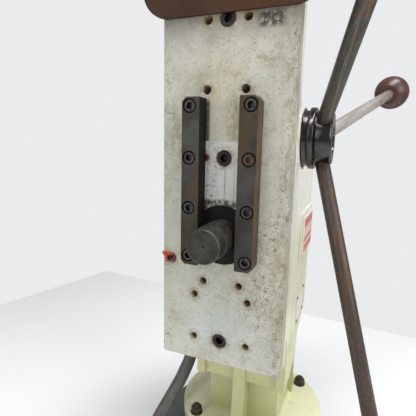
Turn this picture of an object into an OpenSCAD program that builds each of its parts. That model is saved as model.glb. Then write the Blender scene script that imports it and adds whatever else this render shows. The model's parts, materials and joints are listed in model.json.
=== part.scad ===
// Bench press with a horizontal ram, driven by a three-arm capstan through a two-stage rack gearing.
// Millimetres, +Z up. The front plate faces -Y. The origin is on the base's underside, below the
// centre of the column flange.

/* [Front plate] */
// Width of the front plate
plate_w = 170; // [168:1:172]
// Thickness of the front plate
plate_t = 22; // [20:1:22]
// Height of the front plate
plate_h = 495; // [493:1:497]
// Y of the front plate's working face
plate_y = -193; // [-193:1:-192]

/* [Housing] */
// Width of the housing
body_w = 152; // [150:1:154]
// Thickness of the housing's side walls
wall = 12; // [11:1:13]
// Height of the plate's lower edge above the bench
body_z = 300; // [299:1:301]
// Y of the housing's rear face
body_back = 97; // [95:1:99]
// Height of the deep lower part of the housing, which holds the gears
deep_h = 350; // [350]

/* [Column and base] */
// Side of the square neck under the housing
neck_w = 122; // [118:1:124]
// Radius of the column flange
flange_r = 129.5; // [128:0.5:131]
// Thickness of the column flange
flange_t = 20; // [18:1:22]
// Radius of the round base
base_r = 153; // [150:1:155]
// Height of the round base without its seat
base_h = 60; // [56:1:64]

/* [Rails] */
// Distance from the middle to each rail's inner side
rail_in = 25; // [24.5:0.5:25]
// Distance from the middle to each rail's outer side
rail_out = 48; // [47:0.5:49]
// How far the rails stand out from the plate
rail_t = 22.5; // [21:0.5:23]
// Length of the rails
rail_h = 210; // [208:1:212]

/* [Ram] */
// Radius of the ram
ram_r = 22; // [22]
// Height of the ram's axis above the plate's lower edge
ram_up = 182; // [182]
// How far the ram stands out of the plate at rest
ram_out = 63.8; // [60:0.2:66]

/* [Capstan] */
// Height of the capstan's axis above the plate's lower edge
capstan_up = 308; // [308]
// Distance of the capstan's axis behind the plate's face
capstan_in = 62; // [62]
// Radius of the capstan arms
bar_r = 9; // [8.5:0.5:9.5]
// Distance from the hub's axis to each knob's centre, along the arm
bar_reach = 374; // [360:1:380]
// Angle by which the arms lean outward
splay = 15.3; // [14:0.1:17]
// Radius of the ball knobs
knob_r = 31.5; // [28:0.5:33]

/* [Gearing] */
// Gear module
gear_m = 3; // [3]
// Teeth of the capstan pinion and of the rack pinion
pinion_teeth = 18; // [18]
// Teeth of the driven gear
gear_teeth = 46; // [46]

/* [Hidden] */
$fn = 64;
eps = 0.01;

// Main places
body_x = body_w / 2;
inner_x = body_x - wall;
plate_back = plate_y + plate_t;
body_top = body_z + plate_h;
deep_top = body_z + deep_h;
column_back = plate_y + 96;
frame_lip_t = 14;
front_wall_in = plate_back + 8;
rear_wall_in = body_back - 12;
flange_top = 116;
seat_top = flange_top - flange_t;
neck_top = 206;
neck_step_y = plate_y + 103;
ram_z = body_z + ram_up;
capstan_y = plate_y + capstan_in;
capstan_z = body_z + capstan_up;

// Gearing, worked out from the module and the teeth
addendum = 0.8 * gear_m;
dedendum = 1.0 * gear_m;
backlash = 0.3;
pressure_angle = 20;
pinion_pr = gear_m * pinion_teeth / 2;
gear_pr = gear_m * gear_teeth / 2;
rack_pitch_z = ram_z + 16;
shaft2_z = rack_pitch_z + pinion_pr;
centre_dist = pinion_pr + gear_pr;
shaft2_y = capstan_y + sqrt(pow(centre_dist, 2) - pow(capstan_z - shaft2_z, 2));
mesh_angle = atan2(shaft2_z - capstan_z, shaft2_y - capstan_y);
gear_face = [30, 46];
pinion_face = [28, 48];
rack_face = [-12, 12];

// Capstan stack along X
boss_x = 88;
ring_x = [89, 95];
collar_x = [95, 103];
barrel_x = [103, 124];
boss_r = 40;
barrel_r = 33;
apex_x = 104.7;
bar_start = 27;
arm_phases = [135.8, 255.8, 15.8];

// Screw sizes
m12_r = 6;
m10_r = 5;
m8_r = 4;
m6_r = 3;
m5_r = 2.5;
hole_gap = 0.1;

// Ends of the ram and its rack
ram_tip = plate_y - ram_out;
ram_tail = plate_y + 278;
rack_ends = [plate_y + 51, plate_y + 209];
keyway_start = plate_y + 156;

function cat(lists) = [for (l = lists, p = l) p];
function polar(r, a) = [r * cos(a), r * sin(a)];

module box(x, y, z) {
    translate([x[0], y[0], z[0]]) cube([x[1] - x[0], y[1] - y[0], z[1] - z[0]]);
}
module cyl_x(r, x, y, z) {
    translate([x[0], y, z]) rotate([0, 90, 0]) cylinder(r = r, h = x[1] - x[0]);
}
module cyl_y(r, y, x, z) {
    translate([x, y[1], z]) rotate([90, 0, 0]) cylinder(r = r, h = y[1] - y[0]);
}
module cyl_z(r, z, x = 0, y = 0) {
    translate([x, y, z[0]]) cylinder(r = r, h = z[1] - z[0]);
}
// An outline in Y and Z, extruded along X
module along_x(x) {
    translate([x[0], 0, 0]) rotate([90, 0, 90]) linear_extrude(x[1] - x[0]) children();
}
// An outline in X and Z, extruded along Y
module along_y(y) {
    translate([0, y[1], 0]) rotate([90, 0, 0]) linear_extrude(y[1] - y[0]) children();
}
// A socket head cap screw: its head's outer face at the origin, its shank along -Z
module cap_screw(r, length, head_h) {
    difference() {
        union() {
            translate([0, 0, -head_h]) cylinder(r = 1.5 * r, h = head_h);
            translate([0, 0, -head_h - length]) cylinder(r = r - hole_gap, h = length + eps);
        }
        translate([0, 0, -0.6 * head_h]) cylinder(r = 0.96 * r, h = head_h, $fn = 6);
    }
}
// Points a screw's head along -Y, +Y, -X or +X
module face_front(x, y, z) { translate([x, y, z]) rotate([90, 0, 0]) children(); }
module face_back(x, y, z) { translate([x, y, z]) rotate([-90, 0, 0]) children(); }
module face_left(x, y, z) { translate([x, y, z]) rotate([0, -90, 0]) children(); }
module face_right(x, y, z) { translate([x, y, z]) rotate([0, 90, 0]) children(); }
module rounded_rect(w, h, r) {
    square([w - 2 * r, h], center = true);
    square([w, h - 2 * r], center = true);
    for (i = [-1, 1], j = [-1, 1]) translate([i * (w / 2 - r), j * (h / 2 - r)]) circle(r);
}

// Involute gear outline with stub teeth, its first tooth centred on the angle given
function involute(a) = tan(a) * 180 / PI - a;
function half_tooth(r, q, teeth) =
    90 / teeth - backlash / 4 / r * 180 / PI + involute(pressure_angle)
    - involute(acos(min(1, r * cos(pressure_angle) / q)));
function flank_radii(r) = [r - dedendum, max(r * cos(pressure_angle), r - 0.6 * dedendum),
    r - 0.3 * addendum, r + 0.3 * addendum, r + addendum];
function tooth(r, teeth, a) = cat([
    [for (q = flank_radii(r)) polar(q, a - half_tooth(r, q, teeth))],
    [for (i = [4:-1:0]) let (q = flank_radii(r)[i]) polar(q, a + half_tooth(r, q, teeth))]]);
module gear_outline(teeth, first) {
    r = gear_m * teeth / 2;
    polygon(cat([for (i = [0:teeth - 1]) tooth(r, teeth, first + i * 360 / teeth)]));
}

// ---------------------------------------------------------------- base and column
base_x = -22;
base_y = 2;
base_wall = 10;
module at_inlet() { translate([base_x, base_y, 0]) rotate([0, 0, inlet_angle]) children(); }
foot_pcd_r = 110;
stud_xy = 80;
module foot_places() { for (a = [45:90:315]) translate(concat(polar(foot_pcd_r, a), 0)) children(); }
module stud_places() { for (i = [-1, 1], j = [-1, 1]) translate([i * stud_xy, j * stud_xy, 0]) children(); }

module base_casting() color([0.30, 0.31, 0.31]) {
    difference() {
        union() {
            translate([base_x, base_y, 0]) rotate_extrude() polygon([[0, 0], [base_r, 0], [base_r, base_h - 6],
                [base_r - 2, base_h - 2], [base_r - 6, base_h], [0, base_h]]);
            cyl_z(flange_r - 3.5, [base_h - eps, seat_top]);
            at_inlet() cyl_x(19, [base_r - 20, base_r + 5], 0, 30);
        }
        difference() {
            union() {
                translate([base_x, base_y, -eps]) cylinder(r = base_r - base_wall, h = base_h - 10);
                cyl_z(flange_r - 34, [0, seat_top - 12]);
            }
            foot_places() cylinder(r = 14, h = base_h);
            stud_places() translate([0, 0, 44]) cylinder(r = 13, h = seat_top);
            for (p = cover_screws) cyl_z(8, [cover_z[1], base_h], p[0], p[1]);
        }
        translate([base_x, base_y, -eps]) difference() {
            cylinder(r = base_r - 8, h = cover_z[1] + eps);
            translate([-base_x, -base_y, 0]) foot_places() cylinder(r = 14, h = base_h);
        }
        foot_places() translate([0, 0, -eps]) cylinder(r = 5.1, h = 32);
        stud_places() cyl_z(m12_r, [62, seat_top + eps]);
        for (p = cover_screws) cyl_z(m6_r - 0.5, [0, 22], p[0], p[1]);
        cyl_z(45, [0, seat_top + eps]);
        at_inlet() cyl_x(11, [base_r - 18, base_r + 6], 0, 30);
    }
}
cover_z = [3, 6];
// Far enough out for their bosses to join the roof of the base
cover_screws = [[-118 + base_x, 0], [118 + base_x, 0], [base_x, -110 + base_y], [base_x, 110 + base_y]];
module base_cover_plate() color([0.42, 0.43, 0.43]) difference() {
    translate([base_x, base_y, cover_z[0]]) cylinder(r = base_r - 8.2, h = cover_z[1] - cover_z[0]);
    foot_places() cylinder(r = 14.3, h = 20);
    for (p = cover_screws) cyl_z(m6_r, [0, 20], p[0], p[1]);
}
module base_cover_screws() color([0.2, 0.2, 0.2]) for (p = cover_screws) translate([p[0], p[1], 0]) {
    cylinder(r = 2.4, h = 18);
    difference() {
        translate([0, 0, 0.6]) cylinder(r = 5.5, h = cover_z[0] - 0.6);
        cylinder(r = 2, h = 1.6, $fn = 6);
    }
}

// The side outline of the housing, from the front wall to the throat behind the neck
module housing_side() polygon([
    [plate_back, body_z], [neck_step_y, body_z], [neck_step_y, neck_top], [neck_step_y + 47, neck_top],
    [neck_step_y + 97, neck_top + 16], [neck_step_y + 109, neck_top + 52], [body_back, body_z - 6],
    [body_back, deep_top - 26], [body_back - 30, deep_top], [column_back + 14, deep_top],
    [column_back, deep_top + 14], [column_back, body_top], [plate_back, body_top]]);
// The same outline for the hollow inside it
module housing_hollow_side() polygon([
    [front_wall_in, body_z + wall], [neck_step_y + 18, body_z + wall], [neck_step_y + 18, neck_top + 8],
    [neck_step_y + 92, neck_top + 22], [neck_step_y + 104, neck_top + 64], [rear_wall_in, body_z + 6],
    [rear_wall_in, deep_top - 31], [body_back - 35, deep_top - wall], [column_back - wall, deep_top - wall],
    [column_back - wall, body_top - wall], [front_wall_in, body_top - wall]]);
rear_open = [[-56, 56], [body_z + 30, deep_top - 45]];
bridge_y = [plate_y + 185, plate_y + 215];
inner_boss_x = inner_x - 12;
carrier_r = 31;
cap_spigot_r = 16;
bush2_r = 14;
end_cap_pcd = 24;
carrier_pcd = 35.3;
carrier_x = [-boss_x - 6, -51];

module main_casting() color([0.86, 0.87, 0.76]) difference() {
    union() {
        difference() {
            casting_outside();
            casting_hollow();
        }
        // Bridge that holds the rear bush, and bosses inside the two walls
        box([-inner_x - 1, inner_x + 1], bridge_y, [ram_z - 50, ram_z + 42]);
        cyl_x(30, [inner_boss_x, inner_x + 1], capstan_y, capstan_z);
        cyl_x(22, [inner_boss_x, inner_x + 1], shaft2_y, shaft2_z);
        cyl_x(22, [-inner_x - 1, -inner_boss_x], shaft2_y, shaft2_z);
    }
    // Bores across the housing
    cyl_x(22, [inner_boss_x - 1, boss_x + 1], capstan_y, capstan_z);
    cyl_x(carrier_r, [-boss_x - 1, -inner_x + 1], capstan_y, capstan_z);
    cyl_x(bush2_r, [inner_boss_x - 1, 70], shaft2_y, shaft2_z);
    cyl_x(bush2_r, [-body_x - 1, -inner_boss_x + 1], shaft2_y, shaft2_z);
    for (p = end_cap_holes) cyl_x(m6_r, [-body_x - 1, -body_x + 14], p[0], p[1]);
    for (p = carrier_holes) cyl_x(m5_r, [-boss_x - 1, -boss_x + 16], p[0], p[1]);
    // Front and rear bushes of the ram, and the plate's screws
    cyl_y(28.2, [plate_back - 1, front_wall_in + 1], 0, ram_z);
    cyl_y(28, [bridge_y[0] - 1, bridge_y[1] + 1], 0, ram_z);
    for (z = plate_screw_z) cyl_y(m12_r, [plate_back - 1, front_wall_in + 1], 0, body_z + z);
    // Rear cover, top cover, gland, key and label screws
    for (p = rear_screws) cyl_y(m6_r, [body_back - 16, body_back + 1], p[0], p[1]);
    for (p = top_bolts) cyl_z(m10_r, [body_top - wall - 1, body_top + 1], p[0], p[1]);
    cyl_x(9.5, [-body_x - 5, -inner_x + 1], gland_y, gland_z);
    cyl_z(m8_r, [ram_z - 51, ram_z - 27], 0, plate_y + 200);
    for (p = rivets) cyl_x(1.5, [body_x - 4, body_x + 1], p[0], p[1]);
    stud_places() cyl_z(m12_r + 0.5, [seat_top - 1, flange_top + 1]);
}
module casting_outside() {
    difference() {
        union() {
            along_x([-body_x, body_x]) housing_side();
            box([-plate_w / 2, plate_w / 2], [plate_back, plate_back + frame_lip_t], [body_z, body_top]);
        }
        // Shallow panel in the lower front, between the two side edges
        box([-62, 62], [neck_step_y - 1, neck_step_y + 6], [neck_top - 1, body_z - 8]);
    }
    // Column neck with its flange, its bevelled foot, side webs and front web
    box([-neck_w / 2, neck_w / 2], [-neck_w / 2, neck_w / 2], [flange_top - 1, body_z]);
    cyl_z(flange_r, [seat_top, flange_top]);
    intersection() {
        along_x([-100, 100]) foot_outline();
        along_y([-100, 100]) foot_outline();
    }
    for (s = [-1, 1]) box([s * (neck_w / 2 + 4) - 5, s * (neck_w / 2 + 4) + 5], [44, 56], [flange_top - 1, body_z - 20]);
    along_x([-10, 10]) polygon([[-neck_w / 2 + 1, flange_top - 1], [-98, flange_top - 1],
        [neck_step_y + 0.5, neck_top - 10], [neck_step_y + 0.5, body_z - 1], [-neck_w / 2 + 1, body_z - 1]]);
    // Capstan bosses, pad under the emblem plate and boss for the conduit gland
    cyl_x(boss_r, [body_x - 1, boss_x], capstan_y, capstan_z);
    cyl_x(boss_r, [-boss_x, -body_x + 1], capstan_y, capstan_z);
    box([body_x - 1, body_x + 3], [plate_y + 160, body_back - 4], [body_z + 108, body_z + 190]);
    cyl_x(20, [-body_x - 4, -body_x + 1], gland_y, gland_z);
}
module foot_outline() polygon([[-neck_w / 2 - 9, flange_top - 1], [neck_w / 2 + 9, flange_top - 1],
    [neck_w / 2 + 9, flange_top], [neck_w / 2 + 3, flange_top + 3], [neck_w / 2 - 1, flange_top + 11],
    [-neck_w / 2 + 1, flange_top + 11], [-neck_w / 2 - 3, flange_top + 3], [-neck_w / 2 - 9, flange_top]]);
module casting_hollow() {
    along_x([-inner_x, inner_x]) housing_hollow_side();
    box(rear_open[0], [rear_wall_in - 1, body_back + 1], rear_open[1]);
    box([-neck_w / 2 + 12, neck_w / 2 - 12], [-neck_w / 2 + 12, neck_w / 2 - 12], [seat_top - 1, body_z + wall + 1]);
}
module flange_studs() color([0.33, 0.31, 0.28])
    stud_places() cyl_z(m12_r - hole_gap, [64, flange_top + 15.5]);
module flange_nuts() color([0.25, 0.24, 0.23]) stud_places() difference() {
    union() {
        cyl_z(11, [flange_top, flange_top + 2]);
        intersection() {
            translate([0, 0, flange_top + 2 - eps]) cylinder(r = 10.4, h = 9.5, $fn = 6);
            translate([0, 0, flange_top]) cylinder(r1 = 17, r2 = 8.9, h = 11.5);
        }
    }
    cyl_z(m12_r, [flange_top - 1, flange_top + 16]);
}

// ---------------------------------------------------------------- front plate and rails
bush_r = 39.5;
plate_screw_z = [33, 281, 445];
// Tapped holes of the plate: distance from the middle, height, tapping radius
plate_holes = [[25, 445, 5.1], [25, 364, 5.1], [25, 281, 4.25], [25, 116, 4.25], [37.5, 95, 4.25], [37.5, 33, 4.25]];
rail_screw_x = 38.3;
rail_z = [body_z + 144, body_z + 144 + rail_h];
rail_screw_z = [for (k = [0:3]) body_z + 156 + 62.5 * k];

module front_plate() color([0.71, 0.71, 0.68]) difference() {
    along_y([plate_y, plate_back]) polygon([
        [-plate_w / 2, body_z + 3], [-plate_w / 2 + 3, body_z], [plate_w / 2 - 3, body_z], [plate_w / 2, body_z + 3],
        [plate_w / 2, body_top], [-plate_w / 2, body_top]]);
    cyl_y(bush_r, [plate_y - 1, plate_back + 1], 0, ram_z);
    for (z = plate_screw_z) {
        cyl_y(m12_r, [plate_y - 1, plate_back + 1], 0, body_z + z);
        cyl_y(10, [plate_y - 1, plate_y + 13.5], 0, body_z + z);
    }
    for (h = plate_holes, s = [-1, 1]) {
        cyl_y(h[2], [plate_y - 1, plate_y + 18], s * h[0], body_z + h[1]);
        face_front(s * h[0], plate_y + 0.9, body_z + h[1]) cylinder(r1 = h[2], r2 = h[2] + 1, h = 1);
    }
    for (z = rail_screw_z, s = [-1, 1]) cyl_y(m10_r, [plate_y - 1, plate_y + 18], s * rail_screw_x, z);
    cyl_y(m5_r, [plate_y - 1, plate_y + 15], pointer_x, pointer_z);
}
module plate_screws() color([0.16, 0.16, 0.16])
    for (z = plate_screw_z) face_front(0, plate_y + 1.5, body_z + z) cap_screw(m12_r, 16, 12);
module plug_screw() color([0.40, 0.25, 0.17]) difference() {
    cyl_y(4.15, [plate_y + 1, plate_y + 17], -25, body_z + 281);
    face_front(-25, plate_y + 4, body_z + 281) cylinder(r = 2.2, h = 10, $fn = 6);
}
rail_chamfer = 5;
module rail(s) difference() {
    along_y([plate_y - rail_t, plate_y]) polygon([
        [s * rail_in, rail_z[0]], [s * (rail_out - rail_chamfer), rail_z[0]], [s * rail_out, rail_z[0] + rail_chamfer],
        [s * rail_out, rail_z[1] - rail_chamfer], [s * (rail_out - rail_chamfer), rail_z[1]], [s * rail_in, rail_z[1]]]);
    for (z = rail_screw_z) {
        cyl_y(m10_r + 0.5, [plate_y - rail_t - 1, plate_y + 1], s * rail_screw_x, z);
        cyl_y(8.8, [plate_y - rail_t - 1, plate_y - rail_t + 11], s * rail_screw_x, z);
    }
}
module rail_left() color([0.28, 0.27, 0.25]) rail(-1);
module rail_right() color([0.28, 0.27, 0.25]) rail(1);
module rail_screws() color([0.15, 0.15, 0.15]) for (z = rail_screw_z, s = [-1, 1])
    face_front(s * rail_screw_x, plate_y - rail_t + 1, z) cap_screw(m10_r, 26, 10);

// ---------------------------------------------------------------- ram and its guides
ram_clear = 0.05;
module ram_front_bush() color([0.16, 0.16, 0.15]) difference() {
    union() {
        cyl_y(bush_r, [plate_y, plate_back], 0, ram_z);
        cyl_y(27.9, [plate_back - 1, plate_y + 62], 0, ram_z);
    }
    cyl_y(ram_r + ram_clear, [plate_y - 1, plate_y + 63], 0, ram_z);
}
module ram_rear_bush() color([0.62, 0.48, 0.27]) difference() {
    cyl_y(28, bridge_y, 0, ram_z);
    cyl_y(ram_r + ram_clear, [bridge_y[0] - 1, bridge_y[1] + 1], 0, ram_z);
    cyl_z(m8_r + 0.2, [ram_z - 30, ram_z - 18], 0, plate_y + 200);
}
module ram_key_screw() color([0.3, 0.3, 0.3]) difference() {
    union() {
        cyl_z(m8_r - hole_gap, [ram_z - 49, ram_z - 22.4], 0, plate_y + 200);
        cyl_z(3, [ram_z - 23, ram_z - 18.6], 0, plate_y + 200);
    }
    translate([0, plate_y + 200, ram_z - 50]) cylinder(r = 2.2, h = 5, $fn = 6);
}
rack_pitch = PI * gear_m;
tan_pa = tan(pressure_angle);
function rack_half(z) = rack_pitch / 4 + backlash / 4 + z * tan_pa;
module ram() color([0.24, 0.24, 0.22]) difference() {
    union() {
        cyl_y(ram_r, [ram_tip + 22, ram_tail], 0, ram_z);
        cyl_y(ram_r - 1, [ram_tip + 1.2, ram_tip + 22 + eps], 0, ram_z);
        face_front(0, ram_tip + 1.2, ram_z) cylinder(r1 = ram_r - 1, r2 = ram_r - 2.2, h = 1.2);
    }
    // Centre mark in the nose
    face_front(0, ram_tip + 2.4, ram_z) cylinder(r1 = 0.3, r2 = 2.6, h = 2.5);
    // Flat and gaps of the rack
    box([-30, 30], rack_ends, [rack_pitch_z + addendum, ram_z + 30]);
    for (k = [-5:9]) along_x([-30, 30]) translate([shaft2_y + k * rack_pitch, rack_pitch_z])
        polygon([[-rack_half(-dedendum), -dedendum], [rack_half(-dedendum), -dedendum],
            [rack_half(addendum + 1), addendum + 1], [-rack_half(addendum + 1), addendum + 1]]);
    // Keyway under the tail
    box([-3.2, 3.2], [keyway_start, ram_tail + 1], [ram_z - 30, ram_z - 18.2]);
}

// ---------------------------------------------------------------- intermediate shaft
shaft2_r = 12;
journal2_r = 10;
shaft2_x = [-66, 68];
module gear_bore(x, r, key_angle) {
    cyl_x(r, [x[0] - 1, x[1] + 1], 0, 0);
    rotate([key_angle, 0, 0]) box([x[0] - 1, x[1] + 1], [-3, 3], [0, r + 2.6]);
}
module intermediate_shaft() color([0.55, 0.55, 0.54]) difference() {
    translate([0, shaft2_y, shaft2_z]) union() {
        cyl_x(shaft2_r, [-51.8, 51.8], 0, 0);
        cyl_x(journal2_r, shaft2_x, 0, 0);
    }
    for (x = [rack_face, gear_face])
        translate([0, shaft2_y, shaft2_z]) box(x, [-3, 3], [shaft2_r - 3.4, shaft2_r + 1]);
}
module rack_pinion() color([0.50, 0.50, 0.48]) translate([0, shaft2_y, shaft2_z]) difference() {
    along_x(rack_face) gear_outline(pinion_teeth, -90);
    gear_bore(rack_face, shaft2_r, 0);
}
module driven_gear() color([0.50, 0.50, 0.48]) translate([0, shaft2_y, shaft2_z]) difference() {
    along_x(gear_face) gear_outline(gear_teeth, mesh_angle + 180 + 180 / gear_teeth);
    gear_bore(gear_face, shaft2_r, 0);
    for (a = [30:60:330]) cyl_x(11, [gear_face[0] - 1, gear_face[1] + 1], 42 * cos(a), 42 * sin(a));
}
module gear_keys() color([0.4, 0.4, 0.4]) translate([0, shaft2_y, shaft2_z])
    for (x = [rack_face, gear_face]) box(x, [-2.95, 2.95], [shaft2_r - 3.4, shaft2_r + 2.5]);
module intermediate_bushes() color([0.62, 0.48, 0.27])
    for (x = [[inner_boss_x, 70], [-body_x, -inner_boss_x]]) difference() {
        cyl_x(bush2_r, x, shaft2_y, shaft2_z);
        cyl_x(journal2_r + 0.05, [x[0] - 1, x[1] + 1], shaft2_y, shaft2_z);
    }
end_cap_holes = [for (a = [45:90:315]) [shaft2_y, shaft2_z] + polar(end_cap_pcd, a)];
module intermediate_end_cap() color([0.86, 0.87, 0.76]) difference() {
    cyl_x(32, [-body_x - 6, -body_x], shaft2_y, shaft2_z);
    for (p = end_cap_holes) cyl_x(m6_r, [-body_x - 7, -body_x + 1], p[0], p[1]);
}
module end_cap_screws() color([0.18, 0.18, 0.18])
    for (p = end_cap_holes) face_left(-body_x - 12, p[0], p[1]) cap_screw(m6_r, 16, 6);

// ---------------------------------------------------------------- capstan shaft and its bearings
shaft1_r = 14;
journal1_r = 17.5;
hub_seat_r = 15;
shaft_end_x = barrel_x[1] - 6;
end_pocket_r = 18;
carrier_holes = [for (a = [45:90:315]) [capstan_y, capstan_z] + polar(carrier_pcd, a)];
module capstan_shaft() color([0.55, 0.55, 0.54]) difference() {
    translate([0, capstan_y, capstan_z]) union() {
        cyl_x(shaft1_r, [-boss_x + 4, 52], 0, 0);
        cyl_x(shaft1_r + 3.5, [-50, 51], 0, 0);
        along_x(pinion_face) gear_outline(pinion_teeth, mesh_angle);
        cyl_x(journal1_r, [50, ring_x[1]], 0, 0);
        cyl_x(hub_seat_r, [ring_x[1] - 1, shaft_end_x], 0, 0);
    }
    box([collar_x[0], barrel_x[1]], [capstan_y - 3, capstan_y + 3],
        [capstan_z + hub_seat_r - 3.4, capstan_z + hub_seat_r + 1]);
    cyl_x(m8_r, [shaft_end_x - 24, shaft_end_x + 1], capstan_y, capstan_z);
}
module capstan_bushes() color([0.62, 0.48, 0.27]) {
    difference() {
        cyl_x(22, [inner_boss_x, boss_x], capstan_y, capstan_z);
        cyl_x(journal1_r + 0.05, [inner_boss_x - 1, boss_x + 1], capstan_y, capstan_z);
    }
    difference() {
        cyl_x(19, [-boss_x + 2, carrier_x[1]], capstan_y, capstan_z);
        cyl_x(shaft1_r + 0.05, [-boss_x + 1, carrier_x[1] + 1], capstan_y, capstan_z);
    }
}
module bearing_carrier() color([0.86, 0.87, 0.76]) difference() {
    union() {
        cyl_x(boss_r - 0.4, [carrier_x[0], -boss_x], capstan_y, capstan_z);
        cyl_x(carrier_r, [-boss_x - 1, carrier_x[1]], capstan_y, capstan_z);
    }
    cyl_x(19, [-boss_x + 2, carrier_x[1] + 1], capstan_y, capstan_z);
    for (p = carrier_holes) cyl_x(m5_r, [carrier_x[0] - 1, -boss_x + 1], p[0], p[1]);
}
module carrier_screws() color([0.18, 0.18, 0.18])
    for (p = carrier_holes) face_left(carrier_x[0] - 5, p[0], p[1]) cap_screw(m5_r, 18, 5);
module bearing_flange() color([0.10, 0.10, 0.10]) difference() {
    union() {
        cyl_x(35.4, [boss_x, ring_x[1] - 0.4], capstan_y, capstan_z);
        cyl_x(38, [boss_x, ring_x[0]], capstan_y, capstan_z);
    }
    cyl_x(journal1_r + 0.3, [boss_x - 1, ring_x[1] + 1], capstan_y, capstan_z);
}

// ---------------------------------------------------------------- hub, arms and knobs
module on_arm(phase) {
    translate([apex_x, capstan_y, capstan_z]) rotate([phase, 0, 0]) rotate([0, 0, -splay])
        rotate([-90, 0, 0]) children();
}
module hub_bore(x, r, key_h) {
    cyl_x(r, [x[0] - 1, x[1] + 1], capstan_y, capstan_z);
    box([x[0] - 1, x[1] + 1], [capstan_y - 3, capstan_y + 3], [capstan_z, capstan_z + r + key_h]);
}
module index_collar() color([0.22, 0.21, 0.20]) difference() {
    union() {
        cyl_x(39, [collar_x[0] + 1, collar_x[1] - 1], capstan_y, capstan_z);
        for (k = [0, 1]) translate([k == 0 ? collar_x[0] : collar_x[1] - 1, capstan_y, capstan_z]) rotate([0, 90, 0])
            cylinder(r1 = k == 0 ? 38 : 39, r2 = k == 0 ? 39 : 38, h = 1);
    }
    hub_bore(collar_x, hub_seat_r, 2.6);
}
module hub() color([0.20, 0.19, 0.18]) difference() {
    union() {
        cyl_x(barrel_r, [barrel_x[0], barrel_x[1] - 2], capstan_y, capstan_z);
        translate([barrel_x[1] - 2, capstan_y, capstan_z]) rotate([0, 90, 0])
            cylinder(r1 = barrel_r, r2 = barrel_r - 2, h = 2);
    }
    hub_bore([barrel_x[0], shaft_end_x + 1], hub_seat_r, 2.6);
    cyl_x(end_pocket_r, [shaft_end_x, barrel_x[1] + 1], capstan_y, capstan_z);
    for (a = arm_phases) on_arm(a) translate([0, 0, bar_start]) cylinder(r = bar_r, h = 40);
    rotate_about_hub(225.8) translate([0, 0, hub_seat_r - 1]) cylinder(r = m6_r, h = 30);
}
module rotate_about_hub(a) {
    translate([barrel_x[0] + 10, capstan_y, capstan_z]) rotate([a, 0, 0]) children();
}
module hub_key() color([0.4, 0.4, 0.4]) box([collar_x[0], shaft_end_x], [capstan_y - 2.95, capstan_y + 2.95],
    [capstan_z + hub_seat_r - 3.4, capstan_z + hub_seat_r + 2.5]);
module hub_set_screw() color([0.15, 0.15, 0.15]) rotate_about_hub(225.8) difference() {
    translate([0, 0, hub_seat_r]) cylinder(r = m6_r - hole_gap, h = 16);
    translate([0, 0, hub_seat_r + 13]) cylinder(r = 1.7, h = 6, $fn = 6);
}
module hub_end_washer() color([0.3, 0.3, 0.3]) difference() {
    cyl_x(end_pocket_r - 0.2, [shaft_end_x, shaft_end_x + 3], capstan_y, capstan_z);
    cyl_x(m8_r + 0.3, [shaft_end_x - 1, shaft_end_x + 4], capstan_y, capstan_z);
}
module hub_end_screw() color([0.16, 0.16, 0.16])
    face_right(shaft_end_x + 7, capstan_y, capstan_z) cap_screw(m8_r, 24, 4);
module handle_bar(phase) on_arm(phase) {
    translate([0, 0, bar_start]) cylinder(r = bar_r, h = bar_reach - bar_start - 26);
    translate([0, 0, bar_reach - 26 - eps]) cylinder(r = m10_r, h = 20);
}
module ball_knob(phase) color([0.28, 0.22, 0.20]) on_arm(phase) difference() {
    translate([0, 0, bar_reach]) sphere(knob_r);
    translate([0, 0, bar_reach - knob_r - 10]) cylinder(r = 20, h = 10 + knob_r - 26);
    translate([0, 0, bar_reach - knob_r]) cylinder(r = m10_r, h = knob_r - 4);
}
module handle_bar_upper() color([0.37, 0.35, 0.33]) handle_bar(arm_phases[0]);
module handle_bar_lower() color([0.31, 0.27, 0.24]) handle_bar(arm_phases[1]);
module handle_bar_rear() color([0.78, 0.76, 0.73]) handle_bar(arm_phases[2]);
module ball_knob_upper() ball_knob(arm_phases[0]);
module ball_knob_lower() ball_knob(arm_phases[1]);
module ball_knob_rear() ball_knob(arm_phases[2]);

// ---------------------------------------------------------------- covers
rear_z = [body_z + 15, deep_top - 30];
rear_mid = (rear_z[0] + rear_z[1]) / 2;
rear_screws = [for (x = [-64, 64], z = [rear_z[0] + 15, rear_mid, rear_z[1] - 15]) [x, z]];
rear_plate_y = [body_back, body_back + 5];
module rear_cover() color([0.86, 0.87, 0.76]) difference() {
    along_y(rear_plate_y) translate([0, rear_mid]) rounded_rect(144, rear_z[1] - rear_z[0], 8);
    cyl_y(29, [body_back - 1, body_back + 6], 0, ram_z);
    for (p = rear_screws) cyl_y(m6_r, [body_back - 1, body_back + 6], p[0], p[1]);
}
module rear_cover_screws() color([0.18, 0.18, 0.18])
    for (p = rear_screws) face_back(p[0], rear_plate_y[1] + 6, p[1]) cap_screw(m6_r, 16, 6);
module ram_guard() color([0.30, 0.31, 0.31]) difference() {
    union() {
        cyl_y(29, [body_back - 8, body_back + 45], 0, ram_z);
        cyl_y(36, [rear_plate_y[1], rear_plate_y[1] + 5], 0, ram_z);
    }
    cyl_y(25, [body_back - 9, body_back + 40], 0, ram_z);
}

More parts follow.
